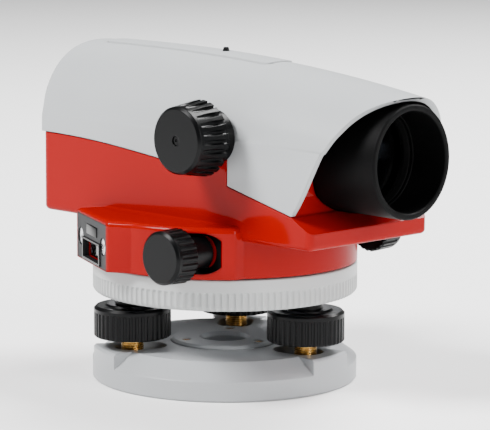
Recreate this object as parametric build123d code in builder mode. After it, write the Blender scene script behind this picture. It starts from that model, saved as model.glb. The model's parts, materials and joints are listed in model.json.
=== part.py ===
from build123d import *
import os
from math import cos, pi, radians, sin

os.makedirs("parts", exist_ok=True)

# An automatic level. Millimetres, +Z up, origin at the tripod thread on the base plate's
# underside, +X along the line of sight towards the objective, -Y the instrument's right side.

# Base plate
base_r, base_h = 48.5, 13.0
cone_r, cone_z = 40.6, 7.3
lobe_half_angle = 12.5
thread_r = 15.875 / 2
bush_r, bush_top = 12.0, 14.2
boss_disc_r = 20.0
pocket_r, pocket_reach, pocket_floor = 6.5, 6.3, 3.0

# Foot screws
foot_circle_r = 36.3
foot_angles = {"a": 248.2, "b": 128.2, "c": 8.2}
ball_r, ball_z = 4.2, 7.4
spindle_r = 3.85
foot_knob_r, foot_knob_z0, foot_knob_z1 = 13.96, 17.2, 28.5
foot_ribs = 40

# Levelling head and setting ring
head_r, head_z0, head_z1 = 44.1, 32.6, 41.0
hub_r, hub_z = 17.0, 49.5
axis_r = 11.0
socket_r, socket_z = 7.4, 35.4
ring_r, ring_foot_r, ring_in_r = 48.4, 47.4, 44.4
ring_z0, ring_z1 = 32.2, 43.4
circle_r, circle_z = 43.6, 48.0

# Worm drive: the wheel's teeth and the shaft's threads clear each other by a hair
drive_x, drive_z = 26.7, 53.0
worm_r, worm_pitch, worm_half = 4.05, 1.6, 8.0
wheel_r, wheel_teeth = 22.4, 88
shaft_r = 2.5
drive_knob_r, drive_knob_y0, drive_knob_y1 = 9.63, 48.6, 58.2
drive_ribs = 26
sleeve_hole_r, sleeve_gap = 7.2, 2.7

# Housing and cover
half_w = 30.5
rear_x, lip_x = -67.0, 71.0
housing_z0, drum_z1, floor_z = 57.3, 58.0, 60.5
drum_z0, drum_in_r = 44.0, 45.9
boss_r, boss_top, boss_end = 50.6, 62.0, 38.3
edge_round = 1.8
wall = 2.5
cover_wall = 2.0
mask_x = 57.0
seam = 0.35
cover_x0, cover_x1, cover_sections = -66.8, 104.0, 5
crown_z, crown_start, crown_fall, crown_power = 119.7, -50.0, 9.7e-5, 2.35
rear_arch, front_arch, arch_points = 2.3, 1.86, 18
sight_rib, sight_rib_w, sight_rib_x0, sight_rib_x1 = 0.5, 14.0, -58.0, 28.0

# Telescope
axis_z = 87.0
tube_r, tube_in_r, tube_x0, tube_x1 = 19.76, 17.05, 56.0, 89.7
mouth_r, mouth_x = 17.5, 75.0
barrel_r, barrel_in_r, barrel_x0, barrel_x1 = 17.0, 15.0, -12.0, 59.5
focus_x, focus_z = 26.0, 92.8
focus_knob_r, focus_knob_y0, focus_knob_y1 = 13.35, 37.1, 50.0
focus_ribs = 24
pinion_r = 1.6
focus_bush_r = 3.6

telescope = Plane(origin=(0, 0, axis_z), x_dir=(1, 0, 0), z_dir=(0, -1, 0))
focus_axis = Plane(origin=(focus_x, 0, focus_z), x_dir=(0, -1, 0), z_dir=(-1, 0, 0))
drive_axis = Plane(origin=(drive_x, 0, drive_z), x_dir=(0, -1, 0), z_dir=(-1, 0, 0))
drive_axis_left = Plane(origin=(drive_x, 0, drive_z), x_dir=(0, 1, 0), z_dir=(1, 0, 0))


def foot_centre(key):
    """The place of a foot screw's axis on the base."""
    angle = radians(foot_angles[key])
    return foot_circle_r * cos(angle), foot_circle_r * sin(angle)


def at_angle(degrees):
    """An upright plane through the vertical axis, its x direction at an angle from +X."""
    angle = radians(degrees)
    return Plane(origin=(0, 0, 0), x_dir=(cos(angle), sin(angle), 0), z_dir=(sin(angle), -cos(angle), 0))


def face_on(plane, points):
    """A flat face on a plane, from the corners of its outline."""
    with BuildSketch(plane) as sketch:
        with BuildLine():
            Polyline(*points, close=True)
        make_face()
    return sketch.sketch


def turn(plane, points, mode=Mode.ADD):
    """Turn an outline of (distance along, radius) corners about the plane's x axis."""
    revolve(face_on(plane, points), axis=Axis(plane.origin, plane.x_dir), mode=mode)


def lathe(points, mode=Mode.ADD):
    """Turn an outline of (radius, height) corners about the vertical axis."""
    revolve(face_on(Plane.XZ, points), axis=Axis.Z, mode=mode)


def tube(plane, start, end, r_out, r_in, mode=Mode.ADD):
    """A plain tube about the plane's x axis, or a rod where the inner radius is zero."""
    turn(plane, [(start, r_in), (end, r_in), (end, r_out), (start, r_out)], mode)


def grip(plane, start, end, r_start, r_end, ribs, depth):
    """A knob's ribbed grip: a cone frustum with a round flute between each two ribs."""
    bevel = 0.9
    side = [(end, r_end - bevel), (end - bevel, r_end), (start + 0.5, r_start), (start, r_start - 0.5)]
    turn(plane, [(start, 0), (end, 0), *side])
    flute_r = pi * r_end / ribs * 0.62
    flutes = Plane(origin=plane.origin + plane.x_dir * (start - 1), z_dir=plane.x_dir)
    with BuildSketch(flutes) as cuts:
        with PolarLocations((r_start + r_end) / 2 + flute_r - depth, ribs):
            Circle(flute_r)
    extrude(cuts.sketch, amount=end - start - 1.2, mode=Mode.SUBTRACT)


def arch(x, inset, foot=62.0):
    """The cover's section at x: a squarish arch on straight sides, drawn in by inset."""
    crown = crown_z - crown_fall * max(x - crown_start, 0) ** crown_power
    power = rear_arch + (front_arch - rear_arch) * (x - cover_x0) / (cover_x1 - cover_x0)
    reach = half_w - inset
    rise = crown - inset - axis_z
    section = Plane(origin=(x, 0, 0), x_dir=(0, 1, 0), z_dir=(1, 0, 0))
    curve = []
    for step in range(arch_points + 1):
        turn_angle = pi * step / arch_points
        across, up = cos(turn_angle), sin(turn_angle)
        y = reach * abs(across) ** (2 / power)
        curve.append((y if across > 0 else -y, axis_z + rise * abs(up) ** (2 / power)))
    with BuildSketch(section) as sketch:
        with BuildLine():
            Spline(*curve, tangents=((0, 1), (0, -1)))
            Polyline((-reach, axis_z), (-reach, foot), (reach, foot), (reach, axis_z))
        make_face()
    return sketch.sketch


def arches(start, inset):
    """The cover's sections from a start to its front, evenly spaced."""
    step = (cover_x1 - start) / (cover_sections - 1)
    return [arch(start + n * step, inset) for n in range(cover_sections)]


def parting(drop):
    """The line where cover and housing meet, seen from the side, lowered by drop."""
    line = [(-70.0, 86.9), (-34.9, 85.7), (-8.2, 83.1), (20.5, 78.9), (33.0, 75.6)]
    return [(x, z - drop) for x, z in line]


# ---------------------------------------------------------------- base

with BuildPart() as base_plate:
    hole = bush_r + 0.05
    rim = [(base_r - 0.6, 0), (base_r, 0.6), (base_r, base_h - 0.8), (base_r - 0.8, base_h)]
    lathe([(hole, 0), *rim, (hole, base_h)])
    outside = base_r + 1
    for angle in foot_angles.values():
        slope = [(cone_r, base_h), (base_r, cone_z), (outside, cone_z)]
        above = [(outside, base_h + 1), (cone_r, base_h + 1)]
        cut = face_on(at_angle(angle + lobe_half_angle), [*slope, *above])
        revolve(cut, axis=Axis.Z, revolution_arc=120 - 2 * lobe_half_angle, mode=Mode.SUBTRACT)
    with BuildSketch(Plane.XY.offset(pocket_floor)):
        for key, angle in foot_angles.items():
            x, y = foot_centre(key)
            middle = 1 - pocket_reach / 2 / foot_circle_r
            with Locations((x * middle, y * middle)):
                SlotCenterToCenter(pocket_reach, 2 * pocket_r, rotation=angle)
    extrude(amount=base_h, mode=Mode.SUBTRACT)
    with BuildSketch(Plane.XY):
        Circle(41)
        Circle(14, mode=Mode.SUBTRACT)
    extrude(amount=1.7, mode=Mode.SUBTRACT)
    with BuildSketch(Plane.XY):
        with PolarLocations(26, 3, start_angle=68.2):
            Circle(1.5)
    extrude(amount=8, mode=Mode.SUBTRACT)
base_plate.part.label = "base_plate"
export_step(base_plate.part, "parts/base_plate.step")

with BuildPart() as tripod_bush:
    disc = [(boss_disc_r, base_h + 0.05), (boss_disc_r - 1.2, bush_top), (thread_r + 1.3, bush_top)]
    lathe([(thread_r, 0), (bush_r, 0), (bush_r, base_h + 0.05), *disc, (thread_r, bush_top - 1.3)])
    with BuildSketch(Plane.XY.offset(bush_top)):
        with PolarLocations(15.3, 3, start_angle=8.2):
            Circle(1.9)
    extrude(amount=-1.3, mode=Mode.SUBTRACT)
tripod_bush.part.label = "tripod_bush"
export_step(tripod_bush.part, "parts/tripod_bush.step")

with BuildPart() as tripod_bush_screws:
    with BuildSketch(Plane.XY.offset(base_h + 0.05)):
        with PolarLocations(15.3, 3, start_angle=8.2):
            Circle(1.8)
    extrude(amount=0.75)
    with BuildSketch(Plane.XY.offset(base_h + 0.8)):
        with PolarLocations(15.3, 3, start_angle=8.2):
            Rectangle(0.5, 2.6)
    extrude(amount=-0.4, mode=Mode.SUBTRACT)
tripod_bush_screws.part.label = "tripod_bush_screws"
export_step(tripod_bush_screws.part, "parts/tripod_bush_screws.step")

with BuildPart() as foot_seats:
    for key in foot_angles:
        x, y = foot_centre(key)
        seat = Plane(origin=(x, y, 0), x_dir=(1, 0, 0), z_dir=(0, -1, 0))
        cup = [(4.35, pocket_floor + 0.05), (6.2, pocket_floor + 0.05), (6.2, ball_z), (4.35, ball_z)]
        revolve(face_on(seat, cup), axis=Axis((x, y, 0), (0, 0, 1)))
foot_seats.part.label = "foot_seats"
export_step(foot_seats.part, "parts/foot_seats.step")

with BuildPart() as retaining_plate:
    with BuildSketch(Plane.XY.offset(0.4)):
        Circle(30)
        for key, angle in foot_angles.items():
            x, y = foot_centre(key)
            with Locations((x / 2, y / 2)):
                SlotOverall(foot_circle_r + 8, 8, rotation=angle)
        Circle(14.5, mode=Mode.SUBTRACT)
        with PolarLocations(26, 3, start_angle=68.2):
            Circle(1.6, mode=Mode.SUBTRACT)
    extrude(amount=1.2)
retaining_plate.part.label = "retaining_plate"
export_step(retaining_plate.part, "parts/retaining_plate.step")

with BuildPart() as retaining_screws:
    for place in PolarLocations(26, 3, start_angle=68.2):
        x, y = place.position.X, place.position.Y
        upright = Plane(origin=(x, y, 0), x_dir=(1, 0, 0), z_dir=(0, -1, 0))
        shank = [(0, 0.05), (2.6, 0.05), (2.6, 0.38), (1.45, 0.38), (1.45, 7.5), (0, 7.5)]
        revolve(face_on(upright, shank), axis=Axis((x, y, 0), (0, 0, 1)))
retaining_screws.part.label = "retaining_screws"
export_step(retaining_screws.part, "parts/retaining_screws.step")

# ---------------------------------------------------------------- foot screws

for key in foot_angles:
    x, y = foot_centre(key)
    upward = Plane(origin=(x, y, 0), x_dir=(0, 0, 1), z_dir=(1, 0, 0))
    spindle_top = 38.0 if key == "c" else 40.5

    with BuildPart() as foot_spindle:
        neck = ball_z + (ball_r**2 - (spindle_r - 1) ** 2) ** 0.5
        tube(upward, neck, neck + 1.5, spindle_r - 1, 0)
        tube(upward, neck + 1.5, spindle_top, spindle_r, 0)
        with Locations((x, y, ball_z)):
            Sphere(ball_r)
    foot_spindle.part.label = f"foot_spindle_{key}"
    export_step(foot_spindle.part, f"parts/foot_spindle_{key}.step")

    with BuildPart() as foot_knob:
        grip(upward, foot_knob_z0, foot_knob_z1, foot_knob_r, foot_knob_r, foot_ribs, 0.45)
        tube(upward, foot_knob_z0, foot_knob_z1, spindle_r + 0.02, 0, mode=Mode.SUBTRACT)
        turn(upward, [(28.0, 10), (29.2, 9.4), (29.2, 6.2), (31.6, 6.0), (31.6, 3.87), (28.0, 3.87)])
    foot_knob.part.label = f"foot_knob_{key}"
    export_step(foot_knob.part, f"parts/foot_knob_{key}.step")

# ---------------------------------------------------------------- levelling head

with BuildPart() as levelling_head:
    hub = [(hub_r, head_z1), (hub_r, hub_z - 0.5), (hub_r - 0.5, hub_z), (axis_r, hub_z)]
    lathe([(axis_r, head_z0), (head_r - 1, head_z0), (head_r, head_z0 + 1), (head_r, head_z1), *hub])
    with BuildSketch(Plane.XY.offset(head_z0)):
        with Locations(*[foot_centre(key) for key in foot_angles]):
            Circle(socket_r)
    extrude(amount=socket_z - head_z0, mode=Mode.SUBTRACT)
    with BuildSketch(Plane.XY.offset(head_z0)):
        with Locations(*[foot_centre(key) for key in foot_angles]):
            Circle(6.45)
    extrude(amount=head_z1 - head_z0, mode=Mode.SUBTRACT)
levelling_head.part.label = "levelling_head"
export_step(levelling_head.part, "parts/levelling_head.step")

with BuildPart() as foot_nuts:
    for key in foot_angles:
        x, y = foot_centre(key)
        upward = Plane(origin=(x, y, 0), x_dir=(0, 0, 1), z_dir=(1, 0, 0))
        tube(upward, socket_z + 0.1, head_z1 - 0.1, 6.4, 5.6 if key == "c" else spindle_r + 0.05)
foot_nuts.part.label = "foot_nuts"
export_step(foot_nuts.part, "parts/foot_nuts.step")

# ---------------------------------------------------------------- setting ring

with BuildPart() as setting_ring:
    foot = [(ring_in_r, ring_z0), (ring_foot_r - 0.9, ring_z0), (ring_foot_r, ring_z0 + 0.8)]
    top = [(ring_r, ring_z0 + 5), (ring_r, ring_z1 - 0.4), (ring_r - 0.4, ring_z1), (36, ring_z1)]
    lathe([*foot, *top, (36, 41.6), (ring_in_r, 41.6)])
setting_ring.part.label = "setting_ring"
export_step(setting_ring.part, "parts/setting_ring.step")

with BuildPart() as graduated_circle:
    scale = [(circle_r, ring_z1), (circle_r, circle_z), (circle_r - 1.2, circle_z), (circle_r - 1.2, 44.2)]
    lathe([(38, ring_z1), *scale, (38, 44.2)])
graduated_circle.part.label = "graduated_circle"
export_step(graduated_circle.part, "parts/graduated_circle.step")

# ---------------------------------------------------------------- endless drive

with BuildPart() as worm_wheel:
    rim = [(hub_r + 3, 50.5), (wheel_r, 50.5), (wheel_r, 55.4), (hub_r + 3, 55.4)]
    lathe([(hub_r + 0.05, 42.5), (hub_r + 3, 42.5), *rim, (hub_r + 0.05, 55.4)])
    tooth_gap = pi * wheel_r / wheel_teeth * 0.42
    with BuildSketch(Plane.XY.offset(50)):
        with PolarLocations(wheel_r, wheel_teeth):
            Circle(tooth_gap)
    extrude(amount=6, mode=Mode.SUBTRACT)
worm_wheel.part.label = "worm_wheel"
export_step(worm_wheel.part, "parts/worm_wheel.step")

with BuildPart() as clutch_spring:
    low = head_z1 + 0.3
    lathe([(hub_r + 0.2, low), (hub_r + 4, low), (hub_r + 4, low + 0.6), (hub_r + 0.2, low + 1.1)])
clutch_spring.part.label = "clutch_spring"
export_step(clutch_spring.part, "parts/clutch_spring.step")

with BuildPart() as drive_shaft:
    tube(drive_axis, -drive_knob_y1 + 1, drive_knob_y1 - 1, shaft_r, 0)
    tube(drive_axis, -worm_half, worm_half, worm_r - 0.8, 0)
    turns = int(worm_half / worm_pitch)
    for n in range(-turns, turns + 1):
        middle = n * worm_pitch
        tube(drive_axis, middle - 0.35, middle + 0.35, worm_r, 0)
drive_shaft.part.label = "drive_shaft"
export_step(drive_shaft.part, "parts/drive_shaft.step")

for side, axis in (("right", drive_axis), ("left", drive_axis_left)):
    with BuildPart() as drive_knob:
        grip(axis, drive_knob_y0, drive_knob_y1, drive_knob_r, drive_knob_r * 0.97, drive_ribs, 0.5)
        tube(axis, 38.0, drive_knob_y0 + 0.5, 5.7, 0)
        tube(axis, 37.0, drive_knob_y1 - 0.9, shaft_r + 0.02, 0, mode=Mode.SUBTRACT)
    drive_knob.part.label = f"drive_knob_{side}"
    export_step(drive_knob.part, f"parts/drive_knob_{side}.step")

# ---------------------------------------------------------------- lower housing

window_near, window_far = (-4.2, -54.8), (-36.9, -39.6)
window_turn = Vector(window_near[0] - window_far[0], window_near[1] - window_far[1], 0)
window_width = window_turn.length
window_x = window_turn.normalized()
window_middle = Vector((window_near[0] + window_far[0]) / 2, (window_near[1] + window_far[1]) / 2, 0)
window_face = Plane(origin=window_middle, x_dir=window_x, z_dir=window_x.cross(Vector(0, 0, 1)))


with BuildPart() as right_boss:
    valley = (4.0, -((boss_r**2 - 4.0**2) ** 0.5))
    corner = (boss_end, -((boss_r**2 - boss_end**2) ** 0.5))
    with BuildSketch(Plane.XY.offset(drum_z0)) as outline:
        with BuildLine():
            Polyline(corner, (boss_end + 0.6, -26), (-31, -26), window_far, window_near, valley)
            ThreePointArc(valley, (boss_r * cos(radians(-62)), boss_r * sin(radians(-62))), corner)
        make_face()
        fillet(outline.vertices().sort_by_distance(window_near)[0], 2.6)
        fillet(outline.vertices().sort_by_distance(corner)[0], 2.2)
    extrude(amount=boss_top - drum_z0)
    top_edges = right_boss.edges().group_by(Axis.Z)[-1]
    fillet([e for e in top_edges if e.center().Y < -27.5], edge_round)

with BuildPart() as left_boss:
    with BuildSketch(Plane.XY.offset(drum_z0)):
        Circle(ring_r - 0.1)
        with Locations((5, 0)):
            Rectangle(62, 100, mode=Mode.INTERSECT)
        with Locations((5, -50)):
            Rectangle(70, 152, mode=Mode.SUBTRACT)
    extrude(amount=boss_top - drum_z0)
    top_edges = left_boss.edges().group_by(Axis.Z)[-1]
    fillet([e for e in top_edges if e.center().Y > 27.5], edge_round)

with BuildPart() as lower_housing:
    with BuildSketch(Plane.XZ):
        with BuildLine():
            top = parting(seam)
            Spline(*top)
            front = [top[-1], (62.4, 68.4 - seam), (lip_x, 63.2), (lip_x, housing_z0)]
            Polyline(*front, (-70, housing_z0), top[0])
        make_face()
    extrude(amount=half_w, both=True)
    with BuildSketch(Plane.XY.offset(40)):
        with BuildLine():
            Polyline((rear_x, -40), (lip_x, -40), (lip_x, 40), (rear_x, 40), close=True)
        make_face()
    extrude(amount=60, mode=Mode.INTERSECT)
    fillet(lower_housing.edges().filter_by(Axis.Z).group_by(Axis.X)[0], 3.5)
    fillet(lower_housing.edges().filter_by(Axis.Z).group_by(Axis.X)[-1], 2.5)
    fillet(lower_housing.edges().group_by(Axis.Z)[0], edge_round)
    with BuildSketch(Plane.XY.offset(drum_z0)):
        Circle(ring_r)
    extrude(amount=drum_z1 + 2 - drum_z0)
    add(right_boss.part)
    add(left_boss.part)
    with BuildSketch(Plane.XY.offset(drum_z0 - 1)):
        Circle(drum_in_r)
    extrude(amount=drum_z1 - drum_z0 + 1, mode=Mode.SUBTRACT)
    inner_w = half_w - wall
    inside = [(rear_x + wall, floor_z), (53, floor_z), (56.2, 68), (60.2, axis_z), (60.2, 130)]
    hollow = face_on(Plane.XZ, [*inside, (rear_x + wall, 130)])
    extrude(hollow, amount=inner_w, both=True, mode=Mode.SUBTRACT)
    with BuildSketch(Plane.XZ):
        with BuildLine():
            Polyline((54, 59), (lip_x - 0.01, 59), (lip_x - 0.01, 63.0))
            ThreePointArc((lip_x - 0.01, 63.0), (63.0, 66.2), (59.4, 74))
            Polyline((59.4, 74), (62.8, axis_z - seam), (60.2, axis_z - seam), (56.2, 68), (54, 62), (54, 59))
        make_face()
    extrude(amount=inner_w + 0.01, both=True)
    turn(telescope, [(40, 0), (100, 0), (100, tube_r + 0.25), (40, tube_r + 0.25)], mode=Mode.SUBTRACT)
    with BuildSketch(Plane.XZ.offset(inner_w)):
        with Locations((focus_x, 82)):
            Rectangle(11 - 2 * seam, 2 * (focus_z - 82))
        with Locations((focus_x, focus_z)):
            Circle(5.5 - seam)
    extrude(amount=wall)
    ribs = [(-5, floor_z - 0.5), (-5, 78), (-1, 78), (-1, floor_z - 0.5)]
    extrude(face_on(Plane.XZ, ribs), amount=11, both=True)
    extrude(face_on(Plane.XZ, [(x + 47, z) for x, z in ribs]), amount=11, both=True)
    tube(telescope, -20, 56, barrel_r + 0.02, 0, mode=Mode.SUBTRACT)
    roof = drum_z1 + 0.2
    blocks = [(drive_x - 6, 48.4), (drive_x + 6, 48.4), (drive_x + 6, roof), (drive_x - 6, roof)]
    for y in (-36.5, 31.0):
        extrude(face_on(Plane.XZ.offset(-y - 5.5), blocks), amount=5.5)
    tube(drive_axis, -60, 60, 3.6, 0, mode=Mode.SUBTRACT)
    for side in (-1, 1):
        with BuildSketch(Plane.XZ.offset(-side * 36.4)):
            with Locations((drive_x + sleeve_gap / 2, drive_z)):
                SlotCenterToCenter(sleeve_gap, 2 * sleeve_hole_r)
        extrude(amount=-side * 24, mode=Mode.SUBTRACT)
    tube(focus_axis, inner_w - 1, half_w + 1, focus_bush_r, 0, mode=Mode.SUBTRACT)
    tube(telescope, rear_x - 1, rear_x + wall + 1, 12.05, 0, mode=Mode.SUBTRACT)
    with BuildSketch(window_face.offset(-1.6)):
        with Locations((0, 52.4)):
            Rectangle(window_width - 1.4, 16.4)
    extrude(amount=3, mode=Mode.SUBTRACT)
    with BuildSketch(window_face.offset(-12)):
        with Locations((0, 48.7)):
            Rectangle(17, 6)
    extrude(amount=12, mode=Mode.SUBTRACT)
    with BuildSketch(Plane.XY.offset(housing_z0 - 2)):
        with Locations((-56, 22), (-56, -22), (56, 24), (56, -24)):
            Circle(2.0)
    extrude(amount=8, mode=Mode.SUBTRACT)
lower_housing.part.label = "lower_housing"
export_step(lower_housing.part, "parts/lower_housing.step")

# ---------------------------------------------------------------- top cover

with BuildPart() as sight_strip:
    loft(arches(cover_x0, -sight_rib))
    with BuildSketch(Plane.XY.offset(axis_z + 10)):
        with Locations(((sight_rib_x0 + sight_rib_x1) / 2, 0)):
            RectangleRounded(sight_rib_x1 - sight_rib_x0, sight_rib_w, 3)
    extrude(amount=60, mode=Mode.INTERSECT)

with BuildPart() as top_cover:
    loft(arches(cover_x0, 0))
    add(sight_strip.part)
    loft(arches(cover_x0 + cover_wall, cover_wall), mode=Mode.SUBTRACT)
    with BuildSketch(Plane.XZ):
        with BuildLine():
            Spline(*parting(0))
            Line((33.0, 75.6), (62.2, 68.5))
            lower = [(62.2, 68.5), (67.2, 76.2), (73.8, 88.4), (79.1, 97.2)]
            Spline(*lower, (84.6, 105.8), (89.2, 108.9), (94, 110.5))
            Polyline((94, 110.5), (94, 130), (-70, 130), (-70, 86.9))
        make_face()
    extrude(amount=40, both=True, mode=Mode.INTERSECT)
    with BuildSketch(Plane.XZ.offset(20)):
        with Locations((focus_x, 82)):
            Rectangle(11, 2 * (focus_z - 82))
        with Locations((focus_x, focus_z)):
            Circle(5.5)
    extrude(amount=20, mode=Mode.SUBTRACT)
    tube(telescope, rear_x - 1, rear_x + 5, 12.05, 0, mode=Mode.SUBTRACT)
top_cover.part.label = "top_cover"
export_step(top_cover.part, "parts/top_cover.step")

with BuildPart() as front_mask:
    extrude(arch(mask_x, cover_wall + 0.4, foot=axis_z - 0.2), amount=2)
    tube(telescope, mask_x - 1, mask_x + 3, tube_r + 0.1, 0, mode=Mode.SUBTRACT)
front_mask.part.label = "front_mask"
export_step(front_mask.part, "parts/front_mask.step")

with BuildPart() as cover_screws:
    for x, y in ((-56, 22), (-56, -22), (56, 24), (56, -24)):
        upright = Plane(origin=(x, y, 0), x_dir=(1, 0, 0), z_dir=(0, -1, 0))
        low = housing_z0 + 0.4
        shank = [(0, low), (1.9, low), (1.9, low + 2), (1.1, low + 2), (1.1, 63), (0, 63)]
        revolve(face_on(upright, shank), axis=Axis((x, y, 0), (0, 0, 1)))
cover_screws.part.label = "cover_screws"
export_step(cover_screws.part, "parts/cover_screws.step")

with BuildPart() as sight_point:
    with BuildSketch(Plane.XY.offset(119.32)):
        Circle(1.3)
    extrude(amount=1.3, taper=18)
sight_point.part.label = "sight_point"
export_step(sight_point.part, "parts/sight_point.step")

# ---------------------------------------------------------------- reading window

with BuildPart() as window_plate:
    with BuildSketch(window_face.offset(-1.5)):
        with Locations((0, 52.4)):
            RectangleRounded(window_width - 1.6, 16.2, 0.8)
        with Locations((0, 48.7)):
            Rectangle(18.6, 6.2, mode=Mode.SUBTRACT)
        with Locations((-13.4, 52.3), (13.4, 52.3)):
            Circle(3.1, mode=Mode.SUBTRACT)
    extrude(amount=1.4)
window_plate.part.label = "window_plate"
export_step(window_plate.part, "parts/window_plate.step")

with BuildPart() as window_screws:
    with BuildSketch(window_face.offset(-1.5)):
        with Locations((-13.4, 52.3), (13.4, 52.3)):
            Circle(3.0)
    extrude(amount=1.0)
    with BuildSketch(window_face.offset(-0.8)):
        with Locations((-13.4, 52.3), (13.4, 52.3)):
            Rectangle(4.4, 0.7, rotation=30)
    extrude(amount=1, mode=Mode.SUBTRACT)
window_screws.part.label = "window_screws"
export_step(window_screws.part, "parts/window_screws.step")

with BuildPart() as reading_lens:
    with BuildSketch(window_face.offset(-4)):
        with Locations((0, 48.7)):
            Rectangle(16.8, 5.8)
    extrude(amount=1.8)
reading_lens.part.label = "reading_lens"
export_step(reading_lens.part, "parts/reading_lens.step")

# ---------------------------------------------------------------- bearings

with BuildPart() as axis_spindle:
    stem, flange = axis_r - 0.04, 15.5
    shape = [(0, 33.4), (10.4, 33.4), (stem, 34.2), (stem, 55.6), (flange, 55.6)]
    lathe([*shape, (flange, drum_z1 - 0.02), (0, drum_z1 - 0.02)])
axis_spindle.part.label = "axis_spindle"
export_step(axis_spindle.part, "parts/axis_spindle.step")

with BuildPart() as drive_bushes:
    for side in (drive_axis, drive_axis_left):
        tube(side, 31.2, 36.2, 3.57, shaft_r + 0.05)
drive_bushes.part.label = "drive_bushes"
export_step(drive_bushes.part, "parts/drive_bushes.step")

with BuildPart() as focus_bush:
    stem, flange = focus_bush_r - 0.03, half_w + 0.4
    collar = [(36.7, 1.85), (36.7, 8.5), (flange, 9.5), (flange, stem)]
    turn(focus_axis, [(inner_w - 2, 1.85), *collar, (inner_w - 2, stem)])
focus_bush.part.label = "focus_bush"
export_step(focus_bush.part, "parts/focus_bush.step")

# ---------------------------------------------------------------- focusing

with BuildPart() as focus_knob:
    grip(focus_axis, focus_knob_y0, focus_knob_y1, focus_knob_r, 11.7, focus_ribs, 0.9)
    tube(focus_axis, focus_knob_y0 - 1, focus_knob_y1 - 2, 1.82, 0, mode=Mode.SUBTRACT)
    tube(focus_axis, focus_knob_y1 - 1.2, focus_knob_y1 + 1, 1.7, 0, mode=Mode.SUBTRACT)
focus_knob.part.label = "focus_knob"
export_step(focus_knob.part, "parts/focus_knob.step")

with BuildPart() as focus_knob_screw:
    tube(focus_axis, focus_knob_y1 - 1.1, focus_knob_y1 - 0.4, 1.6, 0)
    tube(focus_axis, focus_knob_y1 - 0.8, focus_knob_y1, 0.7, 0, mode=Mode.SUBTRACT)
focus_knob_screw.part.label = "focus_knob_screw"
export_step(focus_knob_screw.part, "parts/focus_knob_screw.step")

with BuildPart() as focus_pinion:
    tube(focus_axis, 22, focus_knob_y1 - 2.1, 1.8, 0)
    tube(focus_axis, 17.9, 22, pinion_r + 0.4, 0)
    with BuildSketch(Plane.XZ.offset(17.8)):
        with Locations((focus_x, focus_z)):
            with PolarLocations(pinion_r + 0.4, 10):
                Circle(0.32)
    extrude(amount=4, mode=Mode.SUBTRACT)
focus_pinion.part.label = "focus_pinion"
export_step(focus_pinion.part, "parts/focus_pinion.step")

rack_z = focus_z - pinion_r - 0.4 - 0.2
with BuildPart() as focus_rack:
    bar = [(10, 87.6), (42, 87.6), (42, rack_z), (10, rack_z)]
    extrude(face_on(Plane.XZ.offset(17.9), bar), amount=3.4)
    with BuildSketch(Plane.XZ.offset(17.9)):
        with Locations((26, rack_z)):
            with GridLocations(2 * pi * pinion_r / 10, 1, 30, 1):
                Circle(0.32)
    extrude(amount=3.4, mode=Mode.SUBTRACT)
    lug = [(22, 87.7), (30, 87.7), (30, 89.7), (22, 89.7)]
    extrude(face_on(Plane.XZ.offset(15.2), lug), amount=2.8)
focus_rack.part.label = "focus_rack"
export_step(focus_rack.part, "parts/focus_rack.step")

with BuildPart() as focus_cell:
    turn(telescope, [(18, 11.5), (34, 11.5), (34, barrel_in_r - 0.05), (18, barrel_in_r - 0.05)])
    turn(telescope, [(18, 10.4), (20, 10.4), (20, 11.5), (18, 11.5)])
    pin = [(22, 87.9), (30, 87.9), (30, 89.5), (22, 89.5)]
    extrude(face_on(Plane.XZ.offset(13.5), pin), amount=1.69)
focus_cell.part.label = "focus_cell"
export_step(focus_cell.part, "parts/focus_cell.step")

with BuildPart() as focus_lens:
    turn(telescope, [(20.1, 0), (20.9, 11.4), (25, 11.4), (24.2, 0)])
focus_lens.part.label = "focus_lens"
export_step(focus_lens.part, "parts/focus_lens.step")

# ---------------------------------------------------------------- telescope

with BuildPart() as telescope_barrel:
    tube(telescope, barrel_x0, barrel_x1, barrel_r, barrel_in_r)
    slot = [(12, 86.9), (40, 86.9), (40, 90.5), (12, 90.5)]
    extrude(face_on(Plane.XZ.offset(8), slot), amount=12, mode=Mode.SUBTRACT)
    turn(telescope, [(46, 12.6), (47.5, 12.6), (47.5, barrel_in_r + 0.2), (46, barrel_in_r + 0.2)])
telescope_barrel.part.label = "telescope_barrel"
export_step(telescope_barrel.part, "parts/telescope_barrel.step")

with BuildPart() as objective_tube:
    rim = [(tube_x1 - 0.5, tube_r), (tube_x1, tube_r - 0.5), (tube_x1, mouth_r + 0.5)]
    bore = [(tube_x1 - 0.5, mouth_r), (mouth_x, mouth_r), (mouth_x, tube_in_r), (60, tube_in_r)]
    seat = barrel_r + 0.02
    turn(telescope, [(tube_x0, seat), (tube_x0, tube_r), *rim, *bore, (60, seat)])
objective_tube.part.label = "objective_tube"
export_step(objective_tube.part, "parts/objective_tube.step")

with BuildPart() as objective_lens:
    turn(telescope, [(64, 0), (66, tube_in_r - 0.1), (70, tube_in_r - 0.1), (72.3, 0)])
objective_lens.part.label = "objective_lens"
export_step(objective_lens.part, "parts/objective_lens.step")

with BuildPart() as objective_rear_lens:
    turn(telescope, [(60.3, 0), (61.4, tube_in_r - 0.1), (63.6, tube_in_r - 0.1), (62.2, 0)])
objective_rear_lens.part.label = "objective_rear_lens"
export_step(objective_rear_lens.part, "parts/objective_rear_lens.step")

with BuildPart() as objective_ring:
    outer = tube_in_r - 0.06
    turn(telescope, [(70.5, 15.9), (70.3, outer), (74, outer), (74, 16.5), (72.2, 15.5)])
objective_ring.part.label = "objective_ring"
export_step(objective_ring.part, "parts/objective_ring.step")

# ---------------------------------------------------------------- compensator

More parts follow.
